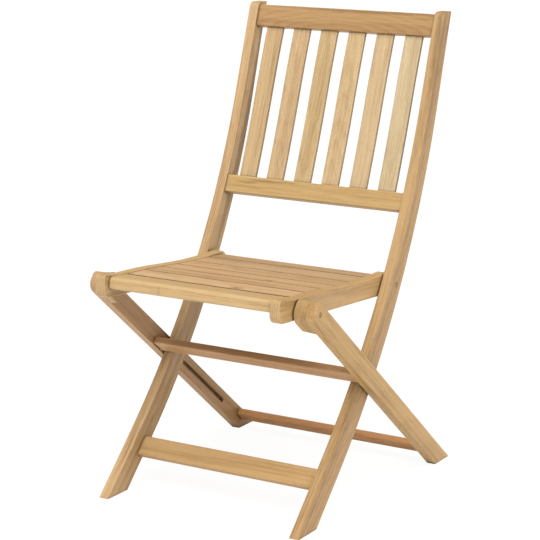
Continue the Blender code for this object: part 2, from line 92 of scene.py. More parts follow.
# Seat.
SEAT_NOSE_Y = -0.0355
SEAT_SCOOP = ((-0.0260, 0.4430, -0.250), (0.0250, 0.4345, -0.035),
              (0.1450, 0.4272, -0.100), (0.3200, 0.4155, -0.005), (0.3660, 0.4160, 0.000))
SEAT_RAIL_BOTTOM = ((-0.0100, 0.3988), (0.3260, 0.3774))
SEAT_NOSE_RADII = (0.0150, 0.0080)
SEAT_BROW_RISE = 0.0010
SEAT_TAIL_RADIUS = 0.0210
SEAT_RAIL_LEVEL = 0.4100
SLAT_DROP = 0.0015
SEAT_SLAT_PITCH = 0.0560
SEAT_SLAT_GAP = 0.0030
SEAT_SLAT_COUNT = 5
SEAT_SLAT_THICKNESS = 0.0120
FRONT_SLAT = ((-0.0210, 0.4380), (0.0365, 0.4322))
FRONT_SLAT_THICKNESS = 0.0225
REAR_SLAT_END = (0.3680, 0.4098)
REAR_SLAT_THICKNESS = 0.0160

# Back.
TOP_RAIL_Z = (0.8500, 0.8920)
LOWER_RAIL_Z = (0.5280, 0.5605)
RAIL_THICKNESS = 0.0190
BACK_SLAT_COUNT = 6
BACK_SLAT_OUTER_GAP = 0.0228
BACK_SLAT_WIDTH = 0.0370
BACK_SLAT_THICKNESS = 0.0085
BACK_SLAT_SETBACK = (0.0055, 0.0013)
FRONT_STRETCHER_Z = (0.0805, 0.1090)
FRONT_STRETCHER_SETBACK = 0.0240
FRONT_STRETCHER_THICKNESS = 0.0130

# Fits, pins and plugs.
SEAM = 0.0002
SLAT_SEAM = 0.0014
HEAD_BLOCK_SEAM = 0.00005
PIN_BORE_RADIUS = 0.0038
PIN_BORE_STOP = 0.0030
PIN_INNER_END = 0.1762
PLUG_BORE_RADIUS = 0.0051
PLUG_RADIUS = 0.0047
PLUG_LENGTH = 0.0045
PLUG_PLAY = 0.0003
PLUG_RECESS = 0.0005
PLUG_RIM = 0.0005
PLUG_BEVEL = 0.0004
PLUG_DOME_RADIUS = 0.0020
PLUG_DOME_RISE = 0.0003
ROUND_SIDES = 32
TOOL_OVERSHOOT = 0.0020

# Rounding of the woodwork.
EDGE_RADIUS = 0.0025
EDGE_STEPS = 3
CRISP_RADIUS = 0.0006
SLIM_RADIUS = 0.0018
GROOVE_RADIUS = 0.0044
FRONT_SLAT_RADII = (0.0040, EDGE_RADIUS, EDGE_RADIUS, 0.0080)
SLAT_RADII = (0.0010, 0.0010, 0.0014, 0.0014)
SHARP = radians(40.0)

# Camera and light.
CAMERA_POSITION = (1.79693, -2.79947, 1.21607)
CAMERA_YAW = radians(30.3916)
CAMERA_PITCH = radians(12.6899)
CAMERA_ROLL = radians(0.4213)
SENSOR = 36.0
CAMERA_LENS = 1911.15 / 540.0 * SENSOR
CAMERA_SHIFT = 0.5 / 540.0
AMBIENT_FRONT = 0.92
AMBIENT_BACK = 0.55
AMBIENT_REACH = 0.8
WARM_FILL = (1.20, 0.98, 0.70)
BACKDROP = 1.1
FLOOR_REACH = 60.0
FLOOR_GLOW = 0.93
KEY_ENERGY = 4.6
KEY_ANGLE = radians(60.0)
KEY_AZIMUTH = radians(34.0)
KEY_ELEVATION = radians(58.0)

# Where a board was sawn from its tree, drawn at random for each board.
SEED = 11
GRAIN_SHIFT = 9.0
HEART_ASIDE = 0.025
HEART_AWAY = (0.03, 0.09)
HEART_LEAN = 0.09

rng = random.Random(SEED)
# The CAD frame's origin, measured back from the toe of the front feet.
MIDDLE_Y = SEAT_NOSE_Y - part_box("left_seat_rail")[0].y


# --- Side-view geometry -------------------------------------------------------------------------

def along(origin, angle, distance):
    """Step a distance from a side-view point at an angle above the horizontal."""
    return (origin[0] + distance * cos(angle), origin[1] + distance * sin(angle))


def arc(centre, radius, start, end, steps):
    """Points of a circular arc, both ends included."""
    return [along(centre, start + (end - start) * i / steps, radius) for i in range(steps + 1)]


def round_corner(before, corner, after, radius, steps=EDGE_STEPS):
    """Replace a polygon's corner by an arc that touches both of its sides."""
    if radius <= 0.0:
        return [corner]
    a = atan2(before[1] - corner[1], before[0] - corner[0])
    b = atan2(after[1] - corner[1], after[0] - corner[0])
    turn = (b - a + pi) % (2.0 * pi) - pi
    centre = along(corner, a + turn / 2.0, radius / sin(abs(turn) / 2.0))
    touch = radius / tan(abs(turn) / 2.0)
    start = along(corner, a, touch)
    end = along(corner, b, touch)
    first = atan2(start[1] - centre[1], start[0] - centre[0])
    last = atan2(end[1] - centre[1], end[0] - centre[0])
    return arc(centre, radius, first, first + (last - first + pi) % (2.0 * pi) - pi, steps)


def rounded_box(half_length, half_thickness, radii, steps=EDGE_STEPS):
    """Rounded rectangle about the origin, as (u, v, wear) points."""
    corners = [(-half_length, -half_thickness), (half_length, -half_thickness),
               (half_length, half_thickness), (-half_length, half_thickness)]
    points = []
    for i, radius in enumerate(radii):
        ring = round_corner(corners[i - 1], corners[i], corners[(i + 1) % 4], radius, steps)
        for j, point in enumerate(ring):
            points.append((*point, 0.0 if j in (0, len(ring) - 1) else 1.0))
    return points


def placed(points, centre, angle):
    """Turn and move (u, v, wear) points into a side-view outline."""
    return [(centre[0] + u * cos(angle) - v * sin(angle),
             centre[1] + u * sin(angle) + v * cos(angle), wear) for u, v, wear in points]


def between(first, last, depth):
    """Centre, angle and length of a board that lies a depth behind or below a side-view line."""
    angle = atan2(last[1] - first[1], last[0] - first[0])
    middle = ((first[0] + last[0]) / 2.0, (first[1] + last[1]) / 2.0)
    length = hypot(last[0] - first[0], last[1] - first[1])
    return along(middle, angle - pi / 2.0, depth), angle, length


def circle(centre, radius):
    """Points of a full circle."""
    return [along(centre, 2.0 * pi * i / ROUND_SIDES, radius) for i in range(ROUND_SIDES)]


# --- Posts --------------------------------------------------------------------------------------

BEND_START = along((0.0, 0.0), POST_FOOT_ANGLE, POST_FOOT_LENGTH)
BEND_CENTRE = along(BEND_START, POST_FOOT_ANGLE + pi / 2.0, POST_BEND_RADIUS)
BEND_END = along(BEND_CENTRE, POST_BACK_ANGLE - pi / 2.0, POST_BEND_RADIUS)
BEND_LENGTH = POST_BEND_RADIUS * (POST_BACK_ANGLE - POST_FOOT_ANGLE)
TOP_LENGTH = (POST_TOP_Z - BEND_END[1]) / sin(POST_BACK_ANGLE)
POST_MEAN_ANGLE = (POST_FOOT_ANGLE + POST_BACK_ANGLE) / 2.0


def post_angle(z):
    """Angle of a post's front edge above the horizontal, at a height."""
    if z <= BEND_START[1]:
        return POST_FOOT_ANGLE
    if z >= BEND_END[1]:
        return POST_BACK_ANGLE
    return acos((BEND_CENTRE[1] - z) / POST_BEND_RADIUS)


def post_front(z):
    """Point of a post's front edge at a height."""
    angle = post_angle(z)
    if z <= BEND_START[1]:
        return (z / tan(angle), z)
    if z >= BEND_END[1]:
        return along(BEND_END, angle, (z - BEND_END[1]) / sin(angle))
    return (BEND_CENTRE[0] + POST_BEND_RADIUS * sin(angle), z)


def post_depth(run):
    """Depth of a post, from front to back, after a run of its bend and top."""
    share = min(1.0, run / (BEND_LENGTH + TOP_LENGTH))
    return POST_FOOT_DEPTH - (POST_FOOT_DEPTH - POST_TOP_DEPTH) * share ** POST_TAPER_POWER


def post_proud(run):
    """How far a post stands in front of the rails' line, after a run of its bend and top."""
    return POST_PROUD * run / (BEND_LENGTH + TOP_LENGTH)


def post_pairs(steps=48, top_steps=8):
    """(front, back) points of a post from its foot to its top."""
    pairs = [((0.0, 0.0), (POST_FOOT_DEPTH / sin(POST_FOOT_ANGLE), 0.0))]
    for i in range(steps + 1):
        share = i / steps
        angle = POST_FOOT_ANGLE + (POST_BACK_ANGLE - POST_FOOT_ANGLE) * share
        point = along(BEND_CENTRE, angle - pi / 2.0, POST_BEND_RADIUS)
        pairs.append((along(point, angle + pi / 2.0, post_proud(BEND_LENGTH * share)),
                      along(point, angle - pi / 2.0, post_depth(BEND_LENGTH * share))))
    back_foot = pairs[-1][1]
    rail_top = post_front(POST_TOP_Z)
    front_top = along(rail_top, pi, POST_PROUD / sin(POST_BACK_ANGLE))
    back_top = along(rail_top, 0.0, POST_TOP_DEPTH / sin(POST_BACK_ANGLE))
    corner = round_corner(pairs[-1][0], front_top, back_top, POST_TOP_RADIUS, top_steps)
    first = (corner[0][1] - back_foot[1]) / (back_top[1] - back_foot[1])
    for i, point in enumerate(corner):
        share = first + (1.0 - first) * i / top_steps
        pairs.append((point, (back_foot[0] + (back_top[0] - back_foot[0]) * share,
                              back_foot[1] + (back_top[1] - back_foot[1]) * share)))
    return pairs


def post_place(y, z):
    """Distance up a post's front edge, and depth behind it, of a side-view point."""
    angle = atan2(z - BEND_CENTRE[1], y - BEND_CENTRE[0]) + pi / 2.0
    base = BEND_START if angle < POST_FOOT_ANGLE else BEND_END
    if POST_FOOT_ANGLE <= angle <= POST_BACK_ANGLE:
        reach = hypot(y - BEND_CENTRE[0], z - BEND_CENTRE[1])
        run = POST_FOOT_LENGTH + POST_BEND_RADIUS * (angle - POST_FOOT_ANGLE)
        return run, reach - POST_BEND_RADIUS
    turn = POST_FOOT_ANGLE if base is BEND_START else POST_BACK_ANGLE
    run = POST_FOOT_LENGTH + (0.0 if base is BEND_START else BEND_LENGTH)
    dy, dz = y - base[0], z - base[1]
    return run + dy * cos(turn) + dz * sin(turn), dy * sin(turn) - dz * cos(turn)


# --- Rear legs and seat -------------------------------------------------------------------------

SEAT_RAIL_SLOPE = atan2(SEAT_RAIL_BOTTOM[1][1] - SEAT_RAIL_BOTTOM[0][1],
                        SEAT_RAIL_BOTTOM[1][0] - SEAT_RAIL_BOTTOM[0][0])


def leg_point(s, t):
    """Side-view point from a distance down the leg and a distance across it."""
    return along(along(LEG_PIVOT, -LEG_TILT, s), pi / 2.0 - LEG_TILT, t)


def leg_floor(t):
    """Distance down the leg at which a line along it meets the floor."""
    return (LEG_PIVOT[1] + t * cos(LEG_TILT)) / sin(LEG_TILT)


def leg_head(side_end, flare=0.0, steps=10):
    """Blunt, rounded head of a leg and its straight sides, up to a distance down the leg."""
    half = LEG_HALF_DEPTH + flare
    end = LEG_HEAD_END + flare
    corners = [(side_end, half), (-end, half), (-end, -half), (side_end, -half)]
    upper = round_corner(corners[0], corners[1], corners[2], LEG_HEAD_RADII[0] + flare, steps)
    lower = round_corner(corners[1], corners[2], corners[3], LEG_HEAD_RADII[1] + flare, steps)
    return [leg_point(s, t) for s, t in [corners[0]] + upper + lower[1:] + [corners[3]]]


def leg_outline():
    """Side view of a rear leg, cut level at the floor."""
    heel = leg_point(leg_floor(LEG_HALF_DEPTH), LEG_HALF_DEPTH)
    toe = leg_point(leg_floor(-LEG_HALF_DEPTH), -LEG_HALF_DEPTH)
    return [heel] + leg_head(0.0)[1:-1] + [toe]


def seat_top(y):
    """Height of the seat rails' scooped top edge: a smooth curve through the scoop's points."""
    for start, end in zip(SEAT_SCOOP, SEAT_SCOOP[1:]):
        if y <= end[0]:
            break
    span = end[0] - start[0]
    u = (y - start[0]) / span
    rise = start[1] * (2 * u ** 3 - 3 * u ** 2 + 1) + end[1] * (3 * u ** 2 - 2 * u ** 3)
    return rise + span * (start[2] * (u ** 3 - 2 * u ** 2 + u) + end[2] * (u ** 3 - u ** 2))


def seat_rail_outline(top_steps=40, tail_steps=20):
    """Side view of a seat rail: nose, scooped top, round tail, straight underside."""
    top_start = SEAT_SCOOP[0][:2]
    bottom_start = SEAT_RAIL_BOTTOM[0]
    foot = (SEAT_NOSE_Y, bottom_start[1])
    brow = (SEAT_NOSE_Y, seat_top(top_start[0]) + SEAT_BROW_RISE)
    outline = round_corner(bottom_start, foot, brow, SEAT_NOSE_RADII[0], 7)
    outline += round_corner(foot, brow, top_start, SEAT_NOSE_RADII[1], 6)
    span = SEAT_PIVOT[0] - top_start[0]
    for i in range(1, top_steps):
        y = top_start[0] + span * i / top_steps
        outline.append((y, seat_top(y)))
    tail_end = SEAT_RAIL_SLOPE - pi / 2.0
    return outline + arc(SEAT_PIVOT, SEAT_TAIL_RADIUS, pi / 2.0, tail_end, tail_steps)


def slat_top(y):
    """Side-view point of the slats' top, a little below the rails' top."""
    return (y, seat_top(y) - SLAT_DROP)


# --- Meshes -------------------------------------------------------------------------------------

def skin(rings, wear=None):
    """Closed surface through a row of equal rings of 3-D points."""
    shape = bmesh.new()
    layer = shape.verts.layers.float.new("wear")
    loops = []
    for ring in rings:
        loop = [shape.verts.new(point) for point in ring]
        for i, vertex in enumerate(loop):
            vertex[layer] = wear[i] if wear else 0.0
        loops.append(loop)
    count = len(loops[0])
    for near, far in zip(loops, loops[1:]):
        for i in range(count):
            j = (i + 1) % count
            shape.faces.new((near[i], near[j], far[j], far[i]))
    shape.faces.new(loops[0])
    shape.faces.new(loops[-1][::-1])
    bmesh.ops.recalc_face_normals(shape, faces=shape.faces)
    return shape


def across(outline, x):
    """A side-view outline as 3-D points at one distance across the chair."""
    return [(x, point[0] - MIDDLE_Y, point[1]) for point in outline]


def round_some(shape, edges, radius):
    """Round these edges and mark the middle of each rounding as worn."""
    made = bmesh.ops.bevel(shape, geom=edges, offset=radius, segments=EDGE_STEPS, profile=0.5,
                           affect="EDGES", clamp_overlap=True)
    strips = set(made["faces"])
    layer = shape.verts.layers.float["wear"]
    for vertex in {vertex for face in strips for vertex in face.verts}:
        if all(face in strips for face in vertex.link_faces):
            vertex[layer] = 1.0


def sharp_edges(shape):
    """The edges whose two faces turn sharply."""
    return [edge for edge in shape.edges if edge.calc_face_angle(0.0) > SHARP]


def round_edges(shape, radius, crisp_x=None):
    """Round every sharp edge, but hardly round those that lie at one distance across the chair."""
    if crisp_x is not None:
        crisp = [edge for edge in sharp_edges(shape)
                 if all(abs(vertex.co.x - crisp_x) < 1e-5 for vertex in edge.verts)]
        round_some(shape, crisp, CRISP_RADIUS)
    round_some(shape, sharp_edges(shape), radius)
    return shape


def mesh_object(name, shape):
    """Turn a bmesh into a linked object."""
    mesh = bpy.data.meshes.new(name)
    shape.to_mesh(mesh)
    shape.free()
    item = bpy.data.objects.new(name, mesh)
    bpy.context.scene.collection.objects.link(item)
    return item


def bar_tool(outline, x_start, x_end):
    """Closed bar across the chair, for cutting."""
    return mesh_object("tool", skin([across(outline, x_start), across(outline, x_end)]))


def round_tool(centre, radius, x_start, x_end):
    """Closed round rod across the chair, for drilling."""
    return bar_tool(circle(centre, radius), x_start, x_end)


def pivot_tools(centre, sign, inner, outer):
    """Rods for a pin's bore from a board's inner face, and its plug's bore at the outer face."""
    return [round_tool(centre, PIN_BORE_RADIUS, sign * (inner - TOOL_OVERSHOOT),
                       sign * (outer - PIN_BORE_STOP)),
            round_tool(centre, PLUG_BORE_RADIUS, sign * (outer - PLUG_LENGTH - PLUG_PLAY),
                       sign * (outer + TOOL_OVERSHOOT))]


def carve(item, tools):
    """Take each tool's shape out of a piece and put the result in its mesh."""
    for tool in tools:
        cut = item.modifiers.new("cut", "BOOLEAN")
        cut.operation = "DIFFERENCE"
        cut.solver = "EXACT"
        cut.object = tool
    state = bpy.context.evaluated_depsgraph_get()
    carved = bpy.data.meshes.new_from_object(item.evaluated_get(state), depsgraph=state,
                                             preserve_all_data_layers=True)
    item.modifiers.clear()
    plain, item.data = item.data, carved
    bpy.data.meshes.remove(plain)
    for tool in tools:
        mesh = tool.data
        bpy.data.objects.remove(tool)
        bpy.data.meshes.remove(mesh)


def write_vectors(mesh, name, values):
    """Store one vector for each vertex."""
    layer = mesh.attributes.new(name, "FLOAT_VECTOR", "POINT")
    layer.data.foreach_set("vector", [number for value in values for number in value])


def set_grain(item, place, look):
    """Write each vertex's wood coordinates. place gives a point's (along, across, through)."""
    shift = look["shift"]
    heart_w, heart_t, lean = look["heart"]
    grain = []
    ring = []
    for vertex in item.data.vertices:
        x, y, z = vertex.co
        run, wide, deep = place(x, y + MIDDLE_Y, z)
        grain.append((run + shift[0], wide + shift[1], deep + shift[2]))
        ring.append((wide - heart_w, deep - heart_t + lean * run, 0.0))
    write_vectors(item.data, "grain", grain)
    write_vectors(item.data, "ring", ring)


# --- Materials ----------------------------------------------------------------------------------

# Noise cells per metre: along, across and through a board, or along X, Y and Z on steel.
CELLS = {
    "sway": (2.2, 14.0, 14.0), "bands": (1.7, 42.0, 42.0), "streaks": (4.5, 230.0, 230.0),
    "fibres": (26.0, 900.0, 900.0), "pores": (55.0, 1900.0, 1900.0), "veins": (1.3, 75.0, 75.0),
    "marks": (60.0, 240.0, 240.0), "rubbing": (28.0, 60.0, 60.0),
    "steel_lines": (4000.0, 180.0, 180.0), "steel_cloud": (160.0, 160.0, 160.0),
}
# The range of its input over which each effect comes in or fades out.
RANGES = {
    "ring_rise": (0.15, 0.88), "ring_fall": (0.90, 1.0), "pores": (0.60, 0.72),
    "veins": (0.585, 0.70), "marks": (0.35, 1.0), "ends": (0.55, 0.85), "rubbing": (0.36, 0.62),
    "crevices": (0.30, 0.88), "steel_lines": (0.3, 0.7),
}
# Colours as (share of the board's tone, tint). The side and crevice colours are painted shade, and
# the mark colour also paints patches of shade; the others are the wood's own colours.
STAINS_AND_SHADES = {
    "mark": (0.42, (1.0, 0.86, 0.72)), "vein": (0.38, (1.0, 0.82, 0.66)),
    "end": (0.50, (1.0, 0.90, 0.78)), "side": (0.30, (1.0, 0.80, 0.58)),
    "rubbed": (1.16, (0.98, 1.02, 1.08)), "crevice_shade": (0.20, (1.0, 0.78, 0.60)),
}
# The wood's figure from dark to light, as (place, share of the board's tone, tint).
FIGURE = ((0.02, 0.50, (1.0, 0.84, 0.70)), (0.30, 0.80, (1.0, 0.94, 0.86)),
          (0.50, 1.0, (1.0, 1.0, 1.0)), (0.72, 1.14, (0.99, 1.01, 1.03)))
STREAK_WEIGHT = 1.1
FIBRE_WEIGHT = 0.9
RING_DRIFT = 1.5
RING_POWER = 1.6
MARK_WOBBLE = 0.8
PORE_SHARE = 0.30
END_RINGS = -0.30
END_PLACE = 0.60
# Reach and samples of the ambient occlusion that paints shade into the gaps between boards.
CREVICE_REACH = 0.006
CREVICE_SAMPLES = 6
# Roughness of plain wood, and what the fibres, bands, end grain and rubbed edges add to it.
ROUGHNESS = (0.40, 0.18, 0.10, 0.15, 0.12)
SPECULAR = 0.32
# Height of the rings, streaks and pores beside that of the fibres.
RELIEF = (-0.35, 0.6, -0.8)
# Strength and distance of the bump.
WOOD_BUMP = (0.5, 0.00025)
STEEL_BUMP = (0.4, 0.0001)
STEEL_TONES = ((0.25, (0.30, 0.28, 0.25)), (0.65, (0.56, 0.55, 0.52)))
STEEL_ROUGHNESS = (0.26, 0.44)


def new_material(name):
    """An empty node material with its Principled shader."""
    made = bpy.data.materials.new(name)
    made.use_nodes = True
    return made, made.node_tree, made.node_tree.nodes["Principled BSDF"]


def feed(tree, socket, value):
    """Link a socket to another, or set its number."""
    if isinstance(value, bpy.types.NodeSocket):
        tree.links.new(value, socket)
    else:
        socket.default_value = value


def maths(tree, operation, *values):
    """A Math node fed by sockets or numbers."""
    node = tree.nodes.new("ShaderNodeMath")
    node.operation = operation
    for socket, value in zip(node.inputs, values):
        feed(tree, socket, value)
    return node.outputs[0]


def vector_maths(tree, operation, *values, result="Vector"):
    """A Vector Math node fed by sockets or triples."""
    node = tree.nodes.new("ShaderNodeVectorMath")
    node.operation = operation
    for socket, value in zip(node.inputs, values):
        feed(tree, socket, value)
    return node.outputs[result]


def attribute(tree, name, output):
    """A mesh attribute."""
    node = tree.nodes.new("ShaderNodeAttribute")
    node.attribute_type = "GEOMETRY"
    node.attribute_name = name
    return node.outputs[output]


def noise(tree, vector, scale, detail=2.0, roughness=0.5, distortion=0.0, output="Fac"):
    """Noise whose cells have their own size along each axis."""
    node = tree.nodes.new("ShaderNodeTexNoise")
    feed(tree, node.inputs["Vector"], vector_maths(tree, "MULTIPLY", vector, scale))
    node.inputs["Scale"].default_value = 1.0
    node.inputs["Detail"].default_value = detail
    node.inputs["Roughness"].default_value = roughness
    node.inputs["Distortion"].default_value = distortion
    return node.outputs[output]


def ramp(tree, value, low, high, start=0.0, end=1.0):
    """Clamped linear ramp from one range to another."""
    node = tree.nodes.new("ShaderNodeMapRange")
    node.clamp = True
    for socket, number in zip(node.inputs, (value, low, high, start, end)):
        feed(tree, socket, number)
    return node.outputs["Result"]


def blend(tree, share, first, second):
    """Mix two colours."""
    node = tree.nodes.new("ShaderNodeMix")
    node.data_type = "RGBA"
    feed(tree, node.inputs["Factor"], share)
    for socket, value in ((node.inputs[6], first), (node.inputs[7], second)):
        feed(tree, socket, value if isinstance(value, bpy.types.NodeSocket) else (*value, 1.0))
    return node.outputs[2]


def cover(tree, colour, share, amount, over):
    """Lay a colour over another as a share says, up to an amount."""
    return blend(tree, maths(tree, "MULTIPLY", share, amount), colour, over)


def add_up(tree, total, parts):
    """A total plus each socket times its number."""
    for value, amount in parts:
        total = maths(tree, "MULTIPLY_ADD", value, amount, total)
    return total


def colour_stops(tree, value, stops):
    """Colour ramp through (position, colour) stops."""
    node = tree.nodes.new("ShaderNodeValToRGB")
    node.color_ramp.interpolation = "LINEAR"
    points = node.color_ramp.elements
    while len(points) < len(stops):
        points.new(0.5)
    for point, (position, colour) in zip(points, stops):
        point.position = position
        point.color = (*colour, 1.0)
    feed(tree, node.inputs["Fac"], value)
    return node.outputs["Color"]


def shade(tone, share, tint=(1.0, 1.0, 1.0)):
    """A tone made lighter or darker."""
    return tuple(min(1.0, part * share * hue) for part, hue in zip(tone, tint))


def linear(tone):
    """Linear colour of an 8-bit display colour."""
    return tuple(((part / 255.0 + 0.055) / 1.055) ** 2.4 for part in tone)


def growth_rings(tree, look, bands):
    """0 to 1 across each growth ring, dark end last."""
    place = attribute(tree, "ring", "Vector")
    grain = attribute(tree, "grain", "Vector")
    sway = noise(tree, grain, CELLS["sway"], 1.0, output="Color")
    sway = vector_maths(tree, "SCALE", vector_maths(tree, "SUBTRACT", sway, (0.5, 0.5, 0.5)))
    sway.node.inputs["Scale"].default_value = look["sway"]
    radius = vector_maths(tree, "LENGTH", vector_maths(tree, "ADD", place, sway), result="Value")
    turns = maths(tree, "DIVIDE", radius, look["spacing"])
    saw = maths(tree, "FRACT", maths(tree, "MULTIPLY_ADD", bands, RING_DRIFT, turns))
    rise = ramp(tree, saw, *RANGES["ring_rise"])
    fall = ramp(tree, saw, *RANGES["ring_fall"], 1.0, 0.0)
    return maths(tree, "MULTIPLY", maths(tree, "POWER", rise, RING_POWER), fall)


def add_marks(tree, colour, grain, look):
    """Knots, dark streaks and patches of painted shade, each (along, across, through, length,
    width, share).
    """
    dark = shade(look["tone"], *STAINS_AND_SHADES["mark"])
    for run, wide, deep, length, width, share in look["marks"]:
        shift = look["shift"]
        centre = (run + shift[0], wide + shift[1], deep + shift[2])
        offset = vector_maths(tree, "SUBTRACT", grain, centre)
        offset = vector_maths(tree, "DIVIDE", offset, (length, width, width))
        reach = vector_maths(tree, "LENGTH", offset, result="Value")
        wobble = noise(tree, grain, CELLS["marks"], 2.0)
        wobble = maths(tree, "MULTIPLY_ADD", wobble, MARK_WOBBLE, -MARK_WOBBLE / 2.0)
        reach = maths(tree, "ADD", reach, wobble)
        colour = blend(tree, ramp(tree, reach, *RANGES["marks"], share, 0.0), colour, dark)
    return colour


def teak(name, look):
    """Oiled teak: growth rings, fibres, pores, mineral streaks, end grain, worn edges and painted
    shade.
    """
    made, tree, shader = new_material(name)
    tone = look["tone"]
    contrast = look["contrast"]
    grain = attribute(tree, "grain", "Vector")
    bands = noise(tree, grain, CELLS["bands"], 2.0)
    streaks = noise(tree, grain, CELLS["streaks"], 3.0, 0.6)
    fibres = noise(tree, grain, CELLS["fibres"], 2.0, 0.6)
    pores = ramp(tree, noise(tree, grain, CELLS["pores"], 1.0), *RANGES["pores"])
    mineral = noise(tree, grain, CELLS["veins"], 3.0, 0.55, 0.4)
    rings = growth_rings(tree, look, bands)

    mix = add_up(tree, 0.5 - contrast * 0.5, (
        (bands, contrast), (maths(tree, "SUBTRACT", streaks, 0.5), contrast * STREAK_WEIGHT),
        (maths(tree, "SUBTRACT", fibres, 0.5), contrast * FIBRE_WEIGHT),
        (rings, -look["rings"])))
    colour = colour_stops(tree, mix, [(place, shade(tone, share, tint))
                                      for place, share, tint in FIGURE])
    dark = shade(tone, *STAINS_AND_SHADES["vein"])
    veins = ramp(tree, mineral, *RANGES["veins"], 0.0, look["veins"])
    colour = blend(tree, veins, colour, dark)
    colour = cover(tree, colour, pores, PORE_SHARE, dark)
    colour = add_marks(tree, colour, grain, look)

    ends = facing_share(tree, look["axis"], *RANGES["ends"])
    end_tone = colour_stops(tree, maths(tree, "MULTIPLY_ADD", rings, END_RINGS, fibres), (
        (0.0, shade(tone, *STAINS_AND_SHADES["end"])), (END_PLACE, shade(tone, *look["end_tone"]))))
    colour = cover(tree, colour, ends, look["end"], end_tone)
    # Painted shade: the faces square to the side axis are darkened.
    if look["side_shade"]:
        side = facing_share(tree, look["side_shade_axis"], *look["side_shade_range"])
        colour = cover(tree, colour, side, look["side_shade"], shade(tone, *STAINS_AND_SHADES["side"]))
    wear = attribute(tree, "wear", "Fac")
    patches = ramp(tree, noise(tree, grain, CELLS["rubbing"], 3.0), *RANGES["rubbing"])
    rubbed = maths(tree, "MULTIPLY", maths(tree, "MULTIPLY", wear, patches), look["wear"])
    colour = blend(tree, rubbed, colour, shade(tone, *STAINS_AND_SHADES["rubbed"]))
    # Painted shade: darker where another surface lies close, in the gaps between boards.
    colour = cover(tree, colour, crevice_shade_share(tree), look["crevice_shade"],
                   shade(tone, *STAINS_AND_SHADES["crevice_shade"]))
    tree.links.new(colour, shader.inputs["Base Color"])

    rough = add_up(tree, ROUGHNESS[0], zip((fibres, bands, ends, rubbed), ROUGHNESS[1:]))
    tree.links.new(rough, shader.inputs["Roughness"])
    shader.inputs["Specular IOR Level"].default_value = SPECULAR
    set_bump(tree, shader, add_up(tree, fibres, zip((rings, streaks, pores), RELIEF)), *WOOD_BUMP)
    return made


def facing_share(tree, axis, low, high):
    """1 where a surface faces along an axis, either way, and 0 where it lies along it."""
    facing = tree.nodes.new("ShaderNodeTexCoord").outputs["Normal"]
    facing = vector_maths(tree, "DOT_PRODUCT", facing, axis, result="Value")
    return ramp(tree, maths(tree, "ABSOLUTE", facing), low, high)


def crevice_shade_share(tree):
    """Share of painted shade: 1 deep in the gaps between boards, 0 on open faces."""
    node = tree.nodes.new("ShaderNodeAmbientOcclusion")
    node.samples = CREVICE_SAMPLES
    node.inputs["Distance"].default_value = CREVICE_REACH
    return ramp(tree, node.outputs["AO"], *RANGES["crevices"], 1.0, 0.0)


def set_bump(tree, shader, height, strength, distance):
    """Drive the shader's normal by a height."""
    bump = tree.nodes.new("ShaderNodeBump")
    bump.inputs["Strength"].default_value = strength
    bump.inputs["Distance"].default_value = distance
    tree.links.new(height, bump.inputs["Height"])
    tree.links.new(bump.outputs["Normal"], shader.inputs["Normal"])


def steel():
    """Turned stainless steel with fine lines and a little tarnish."""
    made, tree, shader = new_material("stainless_steel")
    place = tree.nodes.new("ShaderNodeTexCoord").outputs["Object"]
    lines = noise(tree, place, CELLS["steel_lines"], 2.0)
    cloud = noise(tree, place, CELLS["steel_cloud"], 3.0)
    tree.links.new(colour_stops(tree, cloud, STEEL_TONES), shader.inputs["Base Color"])
    rough = ramp(tree, lines, *RANGES["steel_lines"], *STEEL_ROUGHNESS)
    tree.links.new(rough, shader.inputs["Roughness"])
    shader.inputs["Metallic"].default_value = 1.0
    set_bump(tree, shader, lines, *STEEL_BUMP)
    return made


def white_floor():
    """Matt white studio floor that the camera sees mostly as plain white, with faint shadows."""
    made, tree, shader = new_material("studio_floor")
    shader.inputs["Base Color"].default_value = (0.93, 0.93, 0.93, 1.0)
    shader.inputs["Roughness"].default_value = 0.9
    shader.inputs["Specular IOR Level"].default_value = 0.0
    glow = tree.nodes.new("ShaderNodeEmission")
    lit = tree.nodes.new("ShaderNodeMixShader")
    seen = tree.nodes.new("ShaderNodeLightPath").outputs["Is Camera Ray"]
    tree.links.new(maths(tree, "MULTIPLY", seen, FLOOR_GLOW), lit.inputs[0])
    tree.links.new(shader.outputs[0], lit.inputs[1])
    tree.links.new(glow.outputs[0], lit.inputs[2])
    output = next(node for node in tree.nodes if node.type == "OUTPUT_MATERIAL")
    tree.links.new(lit.outputs[0], output.inputs["Surface"])
    return made


# --- Looks of each piece ------------------------------------------------------------------------

# Boards' tones are 8-bit display colours. GAIN turns them into what the shader reflects.
GAIN = 0.590
TONES = {
    "left_post": (195, 161, 115), "right_post": (183, 148, 100),
    "top_back_rail": (180, 142, 93), "lower_back_rail": (194, 160, 104),
    "back_slat_1": (193, 163, 119), "back_slat_2": (198, 168, 126),
    "back_slat_3": (199, 171, 124), "back_slat_4": (203, 175, 131),
    "back_slat_5": (198, 171, 130), "back_slat_6": (201, 179, 140),
    "front_stretcher": (196, 159, 106),
    "left_seat_rail": (197, 163, 114), "right_seat_rail": (197, 161, 110),
    "front_seat_slat": (198, 166, 118), "rear_seat_slat": (186, 149, 105),
    "seat_slat_1": (206, 170, 127), "seat_slat_2": (204, 167, 124),
    "seat_slat_3": (200, 164, 120), "seat_slat_4": (199, 163, 119),
    "seat_slat_5": (193, 159, 119),
    "left_rear_leg": (190, 151, 105), "right_rear_leg": (189, 153, 98),
    "left_leg_head_block": (185, 150, 100), "right_leg_head_block": (181, 148, 96),
    "stop_bar": (198, 154, 107), "rear_stretcher": (198, 146, 94),
    "plug": (172, 136, 95),
}
